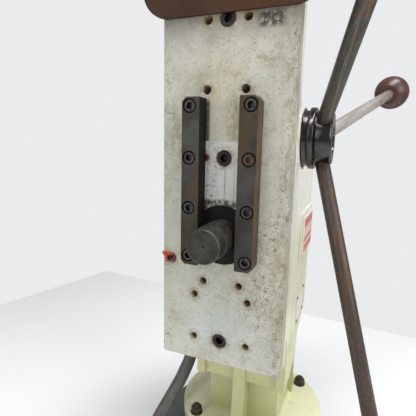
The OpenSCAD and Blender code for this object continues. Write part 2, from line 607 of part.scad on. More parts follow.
// The wide top cover: a rounded box, open at its back, that sits on the column. Its front hangs down over the plate
cap_w = 226;
cap_h = 110;
cap_r = 35;
cap_wall = 7;
cap_lap = 44.5;
cap_y = [plate_y - 4, column_back + 4];
cap_floor = body_top - cap_lap;
cap_mid = cap_floor + cap_h / 2;
top_bolts = [for (x = [-50, 50], y = [plate_y + 43, plate_y + 73]) [x, y]];
cap_back_screws = [for (x = [-94.5, 94.5], z = [body_top + 13, body_top + 41]) [x, z]];
module top_cover() color([0.31, 0.23, 0.17]) difference() {
    along_y(cap_y) translate([0, cap_mid]) rounded_rect(cap_w, cap_h, cap_r);
    // The seat on the column, behind the part that hangs over the plate
    box([-cap_w, cap_w], [plate_y, cap_y[1] + 1], [cap_floor - 1, body_top]);
    difference() {
        intersection() {
            along_y([cap_y[0] + cap_wall, cap_y[1] + 1]) translate([0, cap_mid])
                rounded_rect(cap_w - 2 * cap_wall, cap_h - 2 * cap_wall, cap_r - cap_wall);
            box([-cap_w, cap_w], [cap_y[0], cap_y[1] + 1], [body_top + cap_wall, body_top + cap_h]);
        }
        for (p = cap_back_screws) cyl_y(9, [cap_y[1] - 30, cap_y[1]], p[0], p[1]);
    }
    for (p = top_bolts) cyl_z(m10_r + 0.5, [body_top - 1, body_top + 20], p[0], p[1]);
    for (p = cap_back_screws) cyl_y(m6_r, [cap_y[1] - 20, cap_y[1] + 1], p[0], p[1]);
}
module top_cover_back() color([0.31, 0.23, 0.17]) difference() {
    along_y([cap_y[1], cap_y[1] + 4]) translate([0, cap_mid]) rounded_rect(cap_w, cap_h, cap_r);
    box([-cap_w, cap_w], [cap_y[1] - 1, cap_y[1] + 5], [cap_floor - 1, body_top]);
    for (p = cap_back_screws) cyl_y(m6_r, [cap_y[1] - 1, cap_y[1] + 5], p[0], p[1]);
}
module top_cover_screws() color([0.18, 0.18, 0.18])
    for (p = cap_back_screws) face_back(p[0], cap_y[1] + 10, p[1]) cap_screw(m6_r, 18, 6);
module top_cover_bolts() color([0.18, 0.18, 0.18]) for (p = top_bolts)
    translate([p[0], p[1], body_top + cap_wall + 10]) cap_screw(m10_r, 18, 10);

// ---------------------------------------------------------------- labels, pointer and conduit
emblem_y = [plate_y + 178, plate_y + 284];
emblem_z = [body_z + 115, body_z + 180];
data_y = [plate_y + 177, plate_y + 250];
data_z = [body_z - 10, body_z + 43];
rivets = [for (y = [data_y[0] + 5, data_y[1] - 5], z = [data_z[0] + 5, data_z[1] - 5]) [y, z]];
module emblem_plate() color([0.72, 0.27, 0.25]) box([body_x + 3, body_x + 5], emblem_y, emblem_z);
module data_plate() color([0.87, 0.86, 0.84]) difference() {
    box([body_x, body_x + 1], data_y, data_z);
    for (p = rivets) cyl_x(1.5, [body_x - 1, body_x + 2], p[0], p[1]);
}
module plate_rivets() color([0.45, 0.40, 0.34]) for (p = rivets) {
    cyl_x(1.45, [body_x - 3.5, body_x + 1], p[0], p[1]);
    cyl_x(3, [body_x + 1, body_x + 2.2], p[0], p[1]);
}
pointer_x = -plate_w / 2 + 10.5;
pointer_z = body_z + 142.6;
pointer_t = 2;
module pointer_ring() color([0.78, 0.34, 0.14]) difference() {
    along_y([plate_y - pointer_t, plate_y]) translate([pointer_x, pointer_z])
        polygon([[-13, 7], [0, 7.5], [5, 6], [9, 1.5], [8, -4], [4.5, -7], [-7.5, -6.5], [-9, -1]]);
    cyl_y(m5_r, [plate_y - pointer_t - 1, plate_y + 1], pointer_x, pointer_z);
}
module pointer_screw() color([0.16, 0.15, 0.14])
    face_front(pointer_x, plate_y - pointer_t - 2.5, pointer_z) cap_screw(m5_r, 12, 2.5);

// Conduit from the neck's left side forward and down to the base's front left, held at both ends
gland_y = -18;
gland_z = 252;
conduit_r = 11.5;
inlet_angle = 228;
elbow_out = 185.5;
route = [[-90, -18, 252], [-97, -19, 251], [-104, -22, 246], [-109, -26, 237], [-111, -30, 225], [-112, -35, 208],
    [-113, -42, 191], [-116, -54, 177], [-119, -69, 163], [-123, -84, 151], [-127, -99, 139], [-132, -112, 126],
    [-137, -123, 112], [-141, -130, 96], [-144, -134, 80], [-146, -135.7, 66], [-146.1, -135.9, 52]];
function unit(v) = v / norm(v);
function route_dir(i) = unit(route[min(i + 1, len(route) - 1)] - route[max(i - 1, 0)]);
sides = 12;
function ring(i) = let (d = i == 0 ? [-1, 0, 0] : i == len(route) - 1 ? [0, 0, -1] : route_dir(i),
    u = unit(cross([0, 1, 0], d)), v = cross(d, u))
    [for (k = [0:sides - 1]) route[i] + conduit_r * (cos(k * 360 / sides) * u + sin(k * 360 / sides) * v)];
module conduit() color([0.38, 0.38, 0.37]) polyhedron(
    points = cat([for (i = [0:len(route) - 1]) ring(i)]),
    faces = concat([[for (k = [0:sides - 1]) k]],
        [for (i = [0:len(route) - 2], k = [0:sides - 1]) let (a = i * sides, b = (k + 1) % sides)
            [a + k, a + sides + k, a + sides + b, a + b]],
        [[for (k = [sides - 1:-1:0]) (len(route) - 1) * sides + k]]));
module conduit_gland() color([0.45, 0.44, 0.42]) {
    cyl_x(14, [-90, -80 - 4 + eps], gland_y, gland_z);
    translate([-84, gland_y, gland_z]) rotate([0, 90, 0]) cylinder(r = 17, h = 4, $fn = 6);
    cyl_x(9.4, [-81, -68], gland_y, gland_z);
}
module conduit_elbow() color([0.45, 0.44, 0.42]) at_inlet() {
    difference() {
        union() {
            cyl_z(14, [16, 52], elbow_out, 0);
            cyl_x(14, [base_r + 5, elbow_out], 0, 30);
        }
        cyl_z(18, [0, 16], elbow_out, 0);
    }
    cyl_x(10.9, [base_r - 4, base_r + 6], 0, 30);
}

base_casting();
base_cover_plate();
base_cover_screws();
main_casting();
flange_studs();
flange_nuts();
front_plate();
plate_screws();
plug_screw();
rail_left();
rail_right();
rail_screws();
ram_front_bush();
ram_rear_bush();
ram_key_screw();
ram();
intermediate_shaft();
rack_pinion();
driven_gear();
gear_keys();
intermediate_bushes();
intermediate_end_cap();
end_cap_screws();
capstan_shaft();
capstan_bushes();
bearing_carrier();
carrier_screws();
bearing_flange();
index_collar();
hub();
hub_key();
hub_set_screw();
hub_end_washer();
hub_end_screw();
handle_bar_upper();
handle_bar_lower();
handle_bar_rear();
ball_knob_upper();
ball_knob_lower();
ball_knob_rear();
rear_cover();
rear_cover_screws();
ram_guard();
top_cover();
top_cover_back();
top_cover_screws();
top_cover_bolts();
emblem_plate();
data_plate();
plate_rivets();
pointer_ring();
pointer_screw();
conduit();
conduit_gland();
conduit_elbow();
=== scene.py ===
"""The looks of a bench press with a horizontal ram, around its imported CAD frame.

Everything is in metres, in the CAD's own frame: the plate faces -Y and the capstan is on +X.
"""
import json
import math

import bpy
from mathutils import Matrix, Vector


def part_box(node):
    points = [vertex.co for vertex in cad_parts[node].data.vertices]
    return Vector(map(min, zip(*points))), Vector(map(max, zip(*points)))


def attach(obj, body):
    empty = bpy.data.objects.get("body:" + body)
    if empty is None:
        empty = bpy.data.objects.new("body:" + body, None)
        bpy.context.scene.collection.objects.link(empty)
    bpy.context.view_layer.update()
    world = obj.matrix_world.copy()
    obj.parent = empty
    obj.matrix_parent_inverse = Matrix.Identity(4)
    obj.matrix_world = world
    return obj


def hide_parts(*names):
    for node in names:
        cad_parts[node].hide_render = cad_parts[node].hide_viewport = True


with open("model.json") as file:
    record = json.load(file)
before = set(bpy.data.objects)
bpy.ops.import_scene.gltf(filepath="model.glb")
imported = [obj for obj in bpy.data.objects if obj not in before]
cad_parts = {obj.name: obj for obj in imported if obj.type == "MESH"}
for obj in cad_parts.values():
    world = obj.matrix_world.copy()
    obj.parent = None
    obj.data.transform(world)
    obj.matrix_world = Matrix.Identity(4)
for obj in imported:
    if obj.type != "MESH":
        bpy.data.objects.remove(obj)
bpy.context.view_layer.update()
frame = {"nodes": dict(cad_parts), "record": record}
nodes = frame["nodes"]


def middle_of(name):
    """The middle of a node's box."""
    low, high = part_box(name)
    return [(a + b) / 2 for a, b in zip(low, high)]


# Places that several materials use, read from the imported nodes
PLATE_Y, PLATE_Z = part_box("front_plate")[0][1:]
RAM_Z = middle_of("ram_front_bush")[2]
HUB_X = middle_of("hub")[0]
CAPSTAN_Y, CAPSTAN_Z = middle_of("index_collar")[1:]

# Details that materials repeat: heights are from the plate's foot
RAIL_SCREW_X, RAIL_SCREW_LOW, RAIL_SCREW_PITCH = 0.0383, 0.156, 0.0625
THREAD_PITCH = 0.0016
PLATE_HOLES = (  # distance from the plate's middle, height and radius
    (0.025, 0.445, 0.0051), (0.025, 0.364, 0.0051), (0.025, 0.281, 0.0043),
    (0.025, 0.116, 0.0043), (0.0375, 0.095, 0.0043), (0.0375, 0.033, 0.0043),
    (0.0, 0.445, 0.01), (0.0, 0.281, 0.01), (0.0, 0.033, 0.01))

# The camera: its place, its turns in degrees, and its lens and sensor in millimetres
CAMERA_PLACE = (0.1592, -0.6322, 0.5992)
CAMERA_TURNS = (22.207, 9.922, 1.247)
CAMERA_LENS, CAMERA_SENSOR = 32.02, 36

ROOM_STRENGTH = 0.42
CONDUIT_RADIUS = 0.0115


def srgb(red, green, blue):
    """A display colour, 0 to 255, as a linear colour."""
    def linear(value):
        value /= 255
        return value / 12.92 if value <= 0.04045 else ((value + 0.055) / 1.055) ** 2.4
    return (linear(red), linear(green), linear(blue), 1.0)


# ---------------------------------------------------------------- camera, lights and stage
def make_camera():
    """The photographer's place: right of the press, a little above the ram, looking slightly down."""
    yaw, pitch, roll = (math.radians(turn) for turn in CAMERA_TURNS)
    level = Vector((-math.sin(yaw), math.cos(yaw), 0))
    right = Vector((math.cos(yaw), math.sin(yaw), 0))
    up = Vector((0, 0, 1)) * math.cos(pitch) + level * math.sin(pitch)
    ahead = level * math.cos(pitch) - Vector((0, 0, 1)) * math.sin(pitch)
    tilted_right = right * math.cos(roll) + up * math.sin(roll)
    tilted_up = up * math.cos(roll) - right * math.sin(roll)
    data = bpy.data.cameras.new("camera")
    data.sensor_width = CAMERA_SENSOR
    data.lens = CAMERA_LENS
    camera = bpy.data.objects.new("camera", data)
    bpy.context.collection.objects.link(camera)
    turn = Matrix((tilted_right, tilted_up, -ahead)).transposed().to_4x4()
    camera.matrix_world = Matrix.Translation(CAMERA_PLACE) @ turn
    bpy.context.scene.camera = camera


def make_light(name, place, target, size, power, colour=(1, 1, 1)):
    """A rectangular lamp, aimed at a target: its sides in metres and its power in watts."""
    data = bpy.data.lights.new(name, "AREA")
    data.shape = "RECTANGLE"
    data.size, data.size_y = size
    data.energy = power
    data.color = colour
    lamp = bpy.data.objects.new(name, data)
    bpy.context.collection.objects.link(lamp)
    lamp.location = place
    lamp.rotation_mode = "QUATERNION"
    lamp.rotation_quaternion = (Vector(target) - Vector(place)).to_track_quat("-Z", "Y")


def make_floor():
    """A pale bench top with a corner behind the press."""
    corner, left_end, right_end = Vector((-0.9, 0.72, 0)), Vector((-1.5, -1.65, 0)), Vector((2.8, 0.47, 0))
    near_left, near_right = Vector((-1.9, -3.2, 0)), Vector((3.2, -3.2, 0))
    mesh = bpy.data.meshes.new("floor")
    mesh.from_pydata([corner, left_end, near_left, near_right, right_end], [], [(0, 1, 2, 3, 4)])
    floor = bpy.data.objects.new("floor", mesh)
    bpy.context.collection.objects.link(floor)
    material = bpy.data.materials.new("pale_floor")
    material.use_nodes = True
    bsdf = material.node_tree.nodes["Principled BSDF"]
    bsdf.inputs["Base Color"].default_value = srgb(240, 242, 243)
    bsdf.inputs["Roughness"].default_value = 0.55
    mesh.materials.append(material)


def make_room():
    """A pale room, at full strength where the camera sees it and weaker where it lights the press."""
    world = bpy.data.worlds.new("room")
    world.use_nodes = True
    bpy.context.scene.world = world
    tree = world.node_tree
    background = tree.nodes["Background"]
    background.inputs["Color"].default_value = srgb(234, 235, 237)
    path = tree.nodes.new("ShaderNodeLightPath")
    strength = tree.nodes.new("ShaderNodeMapRange")
    strength.inputs["To Min"].default_value = ROOM_STRENGTH
    strength.inputs["To Max"].default_value = 1.0
    tree.links.new(path.outputs["Is Camera Ray"], strength.inputs["Value"])
    tree.links.new(strength.outputs["Result"], background.inputs["Strength"])
    bpy.context.scene.view_settings.view_transform = "Standard"


make_camera()
make_floor()
make_room()
make_light("ceiling_tube", (0.3, -0.35, 2.2), (0.05, -0.15, 0.5), (1.8, 0.4), 41)
make_light("right_window", (1.7, -0.75, 1.25), (0.05, -0.15, 0.45), (1.2, 1.2), 20, (1.0, 0.99, 0.96))
make_light("left_fill", (-1.1, -1.9, 1.3), (0, -0.15, 0.45), (1.3, 1.3), 10, (1.0, 0.995, 0.97))


# ---------------------------------------------------------------- material kit
class Shader:
    """A material's node tree, with short names for the procedural nodes that this script uses."""

    def __init__(self, name, metallic=0.0, specular=0.5, coat=0.0):
        self.material = bpy.data.materials.new(name)
        self.material.use_nodes = True
        self.tree = self.material.node_tree
        self.bsdf = self.tree.nodes["Principled BSDF"]
        self.bsdf.inputs["Metallic"].default_value = metallic
        self.bsdf.inputs["Specular IOR Level"].default_value = specular
        self.bsdf.inputs["Coat Weight"].default_value = coat
        self.bsdf.inputs["Coat Roughness"].default_value = 0.08
        self.place = self.node("TexCoord").outputs["Object"]
        self.geometry = self.node("NewGeometry")

    def node(self, kind, **values):
        made = self.tree.nodes.new("ShaderNode" + kind)
        for name, value in values.items():
            setattr(made, name, value)
        return made

    def feed(self, socket, value):
        if isinstance(value, bpy.types.NodeSocket):
            self.tree.links.new(value, socket)
        else:
            socket.default_value = value

    def maths(self, operation, first, second=0.0):
        made = self.node("Math", operation=operation)
        self.feed(made.inputs[0], first)
        self.feed(made.inputs[1], second)
        return made.outputs[0]

    def magnitude(self, value):
        return self.maths("ABSOLUTE", value)

    def add(self, *values):
        total = values[0]
        for value in values[1:]:
            total = self.maths("ADD", total, value)
        return total

    def times(self, *values):
        total = values[0]
        for value in values[1:]:
            total = self.maths("MULTIPLY", total, value)
        return total

    def either(self, *values):
        most = values[0]
        for value in values[1:]:
            most = self.maths("MAXIMUM", most, value)
        return most

    def split(self, vector=None):
        made = self.node("SeparateXYZ")
        self.feed(made.inputs[0], vector or self.place)
        return made.outputs

    def facing(self, axis):
        """How far the surface faces along an axis, from -1 to 1."""
        return self.split(self.geometry.outputs["Normal"])[axis]

    def stretch(self, scale):
        made = self.node("Mapping")
        self.feed(made.inputs["Vector"], self.place)
        made.inputs["Scale"].default_value = scale
        return made.outputs[0]

    def drawn_out(self, axis):
        """Coordinates that change slowly along axis, for streaks that follow a bar."""
        keep = 0.06
        along = self.node("VectorMath", operation="DOT_PRODUCT")
        self.feed(along.inputs[0], self.place)
        along.inputs[1].default_value = axis
        back = self.node("VectorMath", operation="SCALE")
        back.inputs[0].default_value = axis
        self.feed(back.inputs["Scale"], self.times(along.outputs["Value"], keep - 1))
        made = self.node("VectorMath", operation="ADD")
        self.feed(made.inputs[0], self.place)
        self.feed(made.inputs[1], back.outputs[0])
        return made.outputs[0]

    def noise(self, scale, detail=4.0, rough=0.55, where=None):
        made = self.node("TexNoise")
        self.feed(made.inputs["Vector"], where or self.place)
        made.inputs["Scale"].default_value = scale
        made.inputs["Detail"].default_value = detail
        made.inputs["Roughness"].default_value = rough
        return made.outputs["Fac"]

    def cells(self, scale):
        made = self.node("TexVoronoi")
        self.feed(made.inputs["Vector"], self.place)
        made.inputs["Scale"].default_value = scale
        return made.outputs["Distance"]

    def ramp(self, value, low, high, to_low=0.0, to_high=1.0):
        """Runs smoothly from to_low at low to to_high at high. low may be above high."""
        made = self.node("MapRange", interpolation_type="SMOOTHSTEP")
        if low > high:
            low, high, to_low, to_high = high, low, to_high, to_low
        for name, number in (("From Min", low), ("From Max", high), ("To Min", to_low), ("To Max", to_high)):
            made.inputs[name].default_value = number
        self.feed(made.inputs["Value"], value)
        return made.outputs["Result"]

    def between(self, value, low, high, soft):
        """1 from low to high, fading out over soft on both sides."""
        rising = self.ramp(value, low - soft, low + soft)
        falling = self.ramp(value, high + soft, high - soft)
        return self.times(rising, falling)

    def band(self, z, low, high, soft):
        """1 between two heights on the plate, measured from its foot."""
        return self.between(z, PLATE_Z + low, PLATE_Z + high, soft)

    def gap(self, point, where):
        """Distance from a point."""
        made = self.node("VectorMath", operation="DISTANCE")
        self.feed(made.inputs[0], where)
        made.inputs[1].default_value = point
        return made.outputs["Value"]

    def edges(self, radius):
        """1 where the surface turns a corner within the radius."""
        straight, turned_away = 0.99, 0.84
        bevel = self.node("Bevel", samples=4)
        bevel.inputs["Radius"].default_value = radius
        turn = self.node("VectorMath", operation="DOT_PRODUCT")
        self.feed(turn.inputs[0], bevel.outputs[0])
        self.feed(turn.inputs[1], self.geometry.outputs["Normal"])
        return self.ramp(turn.outputs["Value"], straight, turned_away)

    def mix(self, factor, first, second):
        made = self.node("Mix", data_type="RGBA")
        self.feed(made.inputs[0], factor)
        self.feed(made.inputs[6], first)
        self.feed(made.inputs[7], second)
        return made.outputs[2]

    def bump(self, height, distance):
        made = self.node("Bump")
        made.inputs["Distance"].default_value = distance
        self.feed(made.inputs["Height"], height)
        return made.outputs["Normal"]

    def done(self, colour, roughness, normal):
        self.feed(self.bsdf.inputs["Base Color"], colour)
        self.feed(self.bsdf.inputs["Roughness"], roughness)
        self.feed(self.bsdf.inputs["Normal"], normal)
        return self.material


# ---------------------------------------------------------------- materials
def paint(name, main, pale, dark, chip, roughness, orange_peel=0.00004, grime=0.45, coat=0.15,
          faded=None, specular=0.5):
    """Machine paint on a casting: soft tone changes, orange peel, grime and chips on its edges.

    faded is the tone of the housing above the neck, on a casting that tall. Given faded, the upright walls
    below the plate's foot also get painted shade, and the ledges there that face up get painted light.
    """
    s = Shader(name, specular=specular, coat=coat)
    tone = s.noise(9, 5)
    colour = s.mix(s.ramp(tone, 0.35, 0.7), main, pale)
    if faded:
        height = s.split()[2]
        colour = s.mix(s.ramp(height, 0.2, 0.42, 0.0, 0.8), colour, faded)
        colour = s.mix(s.ramp(height, 0.44, 0.5), colour, srgb(228, 228, 217))
        # Painted shade on the upright walls below the plate's foot, and painted light on the ledges there
        # that face up
        upward = s.facing(2)
        low_down = s.ramp(height, PLATE_Z + 0.005, PLATE_Z - 0.03)
        walls = s.times(low_down, s.ramp(s.magnitude(upward), 0.6, 0.3), 0.75)
        colour = s.mix(walls, colour, srgb(178, 179, 128))
        lit_ledges_painted = s.times(low_down, s.ramp(upward, 0.8, 0.95), 0.75)
        colour = s.mix(lit_ledges_painted, colour, srgb(226, 227, 196))
    runs = s.noise(1, 6, 0.6, s.stretch((46, 46, 9)))
    colour = s.mix(s.times(s.ramp(runs, 0.55, 0.8), grime), colour, dark)
    specks = s.times(s.ramp(s.cells(170), 0.11, 0.05), s.ramp(s.noise(24, 3), 0.56, 0.68))
    worn = s.times(s.edges(0.0016), s.ramp(s.noise(120, 4, 0.7), 0.62, 0.7))
    bare = s.either(worn, s.times(specks, 0.8))
    colour = s.mix(bare, colour, chip)
    skin = s.add(s.noise(420, 3), s.times(s.noise(60, 3), 2.0))
    height = s.add(skin, s.times(bare, -2.5))
    shine = s.add(s.ramp(s.noise(30, 4), 0.3, 0.75, roughness - 0.08, roughness + 0.12), s.times(bare, 0.2))
    return s.done(colour, shine, s.bump(height, orange_peel))


def plate_tones(s, x, z, side, cloud, brushed):
    """The plate's paint: painted shadow with grime under the cover, bluer low in the middle and browner low
    on the right.
    """
    colour = s.mix(s.ramp(s.noise(7, 5, 0.6), 0.35, 0.68), srgb(184, 184, 172), srgb(199, 198, 185))
    colour = s.mix(s.times(s.ramp(cloud, 0.48, 0.7), 0.75), colour, srgb(166, 160, 136))
    mottle = s.times(s.ramp(s.noise(75, 9, 0.82), 0.5, 0.64), 0.62)
    colour = s.mix(mottle, colour, srgb(150, 143, 122))
    uneven = s.ramp(s.noise(34, 6, 0.7), 0.25, 0.6, 0.45, 1.0)
    # Painted shadow of the cover along the plate's top, made uneven like grime
    cover_shadow_and_grime = s.times(s.ramp(z, PLATE_Z + 0.405, PLATE_Z + 0.452), uneven)
    colour = s.mix(s.times(cover_shadow_and_grime, 0.85), colour, srgb(116, 111, 100))
    colour = s.mix(s.times(s.ramp(brushed, 0.5, 0.8), 0.22), colour, srgb(160, 162, 156))
    low_middle = s.times(s.band(z, 0.02, 0.085, 0.03), s.ramp(side, 0.075, 0.03))
    colour = s.mix(s.times(low_middle, 0.6), colour, srgb(198, 202, 202))
    low_right = s.times(s.band(z, 0.055, 0.215, 0.03), s.ramp(x, 0.015, 0.055))
    blotches = s.ramp(s.noise(70, 9, 0.85), 0.42, 0.62)
    colour = s.mix(s.times(low_right, blotches, 0.6), colour, srgb(150, 140, 112))
    crumbs = s.ramp(s.noise(210, 7, 0.8), 0.53, 0.62)
    colour = s.mix(s.times(low_right, crumbs, 0.75), colour, srgb(112, 98, 72))
    return colour, low_right


def plate_stains(s, x, z, side, colour):
    """Oil stains above and beside the rails, painted shadow beside the left rail, and black smudges high on
    the right.
    """
    middle = s.times(s.ramp(side, 0.03, 0.02), s.band(z, 0.303, 0.40, 0.02))
    soft = s.ramp(s.noise(38, 6, 0.7), 0.3, 0.7)
    colour = s.mix(s.times(middle, soft, 0.55), colour, srgb(190, 180, 148))
    # Painted shadow on the plate along the left rail's inner side, dark brown and broken up like grime
    left_rail_shadow_and_grime = s.times(s.between(x, -0.027, -0.0205, 0.0018), s.band(z, 0.15, 0.352, 0.004))
    shadow_breakup = s.ramp(s.noise(95, 5, 0.7), 0.25, 0.5, 0.5, 0.95)
    colour = s.mix(s.times(left_rail_shadow_and_grime, shadow_breakup), colour, srgb(66, 58, 44))
    beside = s.times(s.between(x, -0.0735, -0.05, 0.0015), s.band(z, 0.275, 0.336, 0.012))
    inside = s.times(s.between(x, 0.003, 0.026, 0.005), s.band(z, 0.300, 0.356, 0.006))
    mottled = s.ramp(s.noise(105, 8, 0.82), 0.4, 0.58)
    colour = s.mix(s.times(s.either(beside, inside), mottled, 0.75), colour, srgb(146, 139, 98))
    above = s.times(s.between(x, 0.005, 0.07, 0.02), s.band(z, 0.38, 0.425, 0.015))
    patchy = s.ramp(s.noise(52, 5, 0.7), 0.52, 0.68)
    colour = s.mix(s.times(above, patchy, 0.7), colour, srgb(150, 132, 92))
    smudge = s.times(s.between(x, 0.038, 0.068, 0.006), s.band(z, 0.431, 0.449, 0.004))
    broken = s.ramp(s.noise(170, 5, 0.8), 0.40, 0.52)
    return s.mix(s.times(smudge, broken, 0.95), colour, srgb(50, 47, 40))


def plate_patch(s, x, z, side, brushed, colour):
    """The cleaner patch between the rails, with scratches, spatter and the grime along its lower edge."""
    wobble = s.add(z, s.times(s.noise(90, 4), 0.004))
    patch = s.times(s.ramp(side, 0.0262, 0.0252), s.band(wobble, 0.226, 0.3035, 0.0012))
    clean = s.mix(s.ramp(brushed, 0.35, 0.7), srgb(208, 209, 205), srgb(193, 195, 192))
    colour = s.mix(s.times(patch, 0.92), colour, clean)
    lines = s.ramp(s.noise(1, 3, 0.5, s.stretch((420, 40, 7))), 0.58, 0.66)
    scratch = s.times(lines, s.between(x, -0.008, 0.02, 0.004), s.band(z, 0.218, 0.274, 0.010))
    colour = s.mix(scratch, colour, srgb(66, 67, 74))
    drops = s.ramp(s.noise(330, 5, 0.75), 0.57, 0.61)
    spatter = s.times(patch, s.ramp(x, -0.004, -0.014), drops)
    colour = s.mix(s.times(spatter, 0.85), colour, srgb(62, 58, 48))
    rim = s.band(wobble, 0.2205, 0.2300, 0.0025)
    grime = s.times(rim, s.ramp(side, 0.028, 0.025), s.ramp(s.noise(190, 5, 0.75), 0.4, 0.52))
    colour = s.mix(s.times(grime, 0.94), colour, srgb(52, 50, 26))
    return colour, patch, scratch


def plate_holes(s, y, z, side, colour):
    """Rust and dirt round the holes, and threads inside them coloured pale as painted light. Also gives the
    threads' height.
    """
    folded = s.node("CombineXYZ")
    s.feed(folded.inputs["X"], side)
    s.feed(folded.inputs["Z"], z)
    near = None
    for out, up, radius in PLATE_HOLES:
        away = s.maths("SUBTRACT", s.gap((out, 0, PLATE_Z + up), folded.outputs[0]), radius)
        near = away if near is None else s.maths("MINIMUM", near, away)
    soiled = s.times(s.ramp(near, 0.0095, 0.0008), s.ramp(s.noise(120, 7, 0.8), 0.42, 0.58))
    colour = s.mix(s.times(soiled, 0.75), colour, srgb(140, 124, 88))
    lip = s.times(s.ramp(near, 0.0011, 0.0003), 0.75)
    colour = s.mix(lip, colour, srgb(92, 78, 56))
    # Painted light: the threads in the holes are coloured much paler than their steel, standing in for light
    # that reaches into the holes
    sunk = s.ramp(y, PLATE_Y + 0.0006, PLATE_Y + 0.0014)
    sideways = s.ramp(s.magnitude(s.facing(1)), 0.5, 0.2)
    walls = s.times(sunk, sideways, s.ramp(side, 0.080, 0.078))
    thread = s.ramp(s.maths("SINE", s.times(y, 2 * math.pi / THREAD_PITCH)), -0.6, 0.6)
    colour = s.mix(walls, colour, s.mix(thread, srgb(112, 96, 76), srgb(206, 188, 154)))
    return colour, s.times(walls, thread, 4.0)


def plate_pits(s, x, z, side, low_right, patch, colour):
    """Grime down the right edge, then pits and specks, thickest along the edges and low on the right."""
    smears = s.ramp(s.noise(1, 7, 0.75, s.stretch((120, 120, 45))), 0.42, 0.62)
    colour = s.mix(s.times(s.ramp(x, 0.062, 0.08), smears, 0.6), colour, srgb(140, 130, 104))
    low = s.ramp(z, PLATE_Z + 0.16, PLATE_Z + 0.1, 0, 0.5)
    where = s.either(s.ramp(side, 0.055, 0.08), low_right, low, 0.42)
    clump = s.ramp(s.noise(30, 4, 0.7), 0.44, 0.6)
    small = s.times(s.ramp(s.noise(430, 5, 0.75), 0.585, 0.62), clump, where)
    spread = s.ramp(s.noise(40, 3), 0.42, 0.56)
    large = s.times(s.ramp(s.noise(210, 5, 0.72), 0.612, 0.64), spread, where)
    unpatched = s.ramp(patch, 0.9, 0.2)
    pits = s.times(s.either(small, large), unpatched)
    colour = s.mix(s.times(pits, 0.85), colour, srgb(92, 79, 56))
    specks = s.ramp(s.noise(480, 3, 0.6), 0.58, 0.7)
    fine = s.times(specks, s.ramp(where, 0, 1, 0.35, 0.85), unpatched)
    return s.mix(fine, colour, srgb(120, 114, 96)), pits


def plate_paint():
    """The front plate: pale paint, pitted and stained, with a cleaner scratched patch between the rails."""
    s = Shader("plate_steel", coat=0.05)
    x, y, z = s.split()
    side = s.magnitude(x)
    cloud = s.noise(26, 6, 0.65)
    brushed = s.noise(1, 5, 0.6, s.stretch((260, 40, 30)))
    colour, low_right = plate_tones(s, x, z, side, cloud, brushed)
    colour = plate_stains(s, x, z, side, colour)
    colour, patch, scratch = plate_patch(s, x, z, side, brushed, colour)
    colour, ridges = plate_holes(s, y, z, side, colour)
    colour, pits = plate_pits(s, x, z, side, low_right, patch, colour)
    worn = s.times(s.edges(0.0014), s.ramp(s.noise(150, 4, 0.7), 0.4, 0.6))
    colour = s.mix(s.times(worn, 0.75), colour, srgb(104, 98, 86))
    height = s.add(s.times(s.noise(300, 3), 0.6), ridges, s.times(pits, -2.6), s.times(scratch, -1.2),
                   s.times(brushed, 0.6))
    shine = s.ramp(cloud, 0.3, 0.8, 0.42, 0.66)
    return s.done(colour, shine, s.bump(height, 0.00012))


def rusted_steel(name, cool, warm, rust, scale, roughness, metallic=0.35, warmth=(0.45, 0.65),
                 bright=None, marks=0.4):
    """Small steel pieces and the conduit: cool where handled, with rust blotches and worn edges."""
    s = Shader(name, metallic=metallic, specular=0.45)
    blotch = s.noise(scale, 6, 0.62)
    colour = s.mix(s.ramp(blotch, *warmth), cool, warm)
    colour = s.mix(s.times(s.ramp(s.noise(scale * 3.3, 6, 0.7), 0.56, 0.72), 0.7), colour, rust)
    rubbed = s.noise(1, 4, 0.6, s.stretch((90, 90, 500)))
    colour = s.mix(s.times(s.ramp(rubbed, 0.6, 0.75), marks), colour, bright or warm)
    worn = s.times(s.edges(0.0012), s.ramp(s.noise(80, 4), 0.35, 0.6), 0.55)
    colour = s.mix(worn, colour, bright or srgb(120, 108, 92))
    pits = s.ramp(s.cells(420), 0.24, 0.1)
    colour = s.mix(s.times(pits, 0.35), colour, srgb(26, 23, 19))
    height = s.add(s.noise(360, 4, 0.65), s.times(pits, -0.8))
    shine = s.ramp(blotch, 0.3, 0.7, roughness - 0.08, roughness + 0.12)
    return s.done(colour, shine, s.bump(height, 0.00008))


def bar_finish(name, which, cool, warm, rust, speckle, roughness, metallic, pale, streaking,
               relief=1.0):
    """A round arm: streaks along its length, brown patches and small rust specks."""
    s = Shader(name, metallic=metallic, specular=0.5)
    low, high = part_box("ball_knob_" + which)
    axis = (Vector(low) + Vector(high)) / 2 - Vector((HUB_X, CAPSTAN_Y, CAPSTAN_Z))
    long = s.drawn_out(tuple(axis.normalized()))
    streak = s.noise(170, 6, 0.7, long)
    broad = s.noise(60, 5, 0.6, long)
    patch = s.noise(20, 6, 0.65)
    colour = s.mix(s.ramp(streak, 0.38, 0.62), cool, warm)
    brown = s.times(s.ramp(patch, 0.5, 0.62), s.ramp(broad, 0.35, 0.6), 0.8)
    colour = s.mix(brown, colour, rust)
    rubbed = s.times(s.ramp(s.noise(300, 5, 0.7, long), 0.56, 0.68), s.ramp(s.noise(14, 4), 0.4, 0.62))
    colour = s.mix(s.times(rubbed, streaking), colour, pale)
    specks = s.times(s.ramp(s.noise(380, 4, 0.7), 0.585, 0.625), s.ramp(s.noise(26, 4), 0.38, 0.6))
    colour = s.mix(s.times(specks, speckle), colour, srgb(150, 94, 58))
    height = s.add(s.times(streak, 1.5), s.times(s.noise(420, 3), relief), s.times(specks, -1.0))
    dull = s.add(s.times(patch, 0.6), s.times(broad, 0.4))
    shine = s.ramp(dull, 0.35, 0.65, roughness - 0.07, roughness + 0.12)
    return s.done(colour, shine, s.bump(height, 0.00007 if relief else 0.00001))


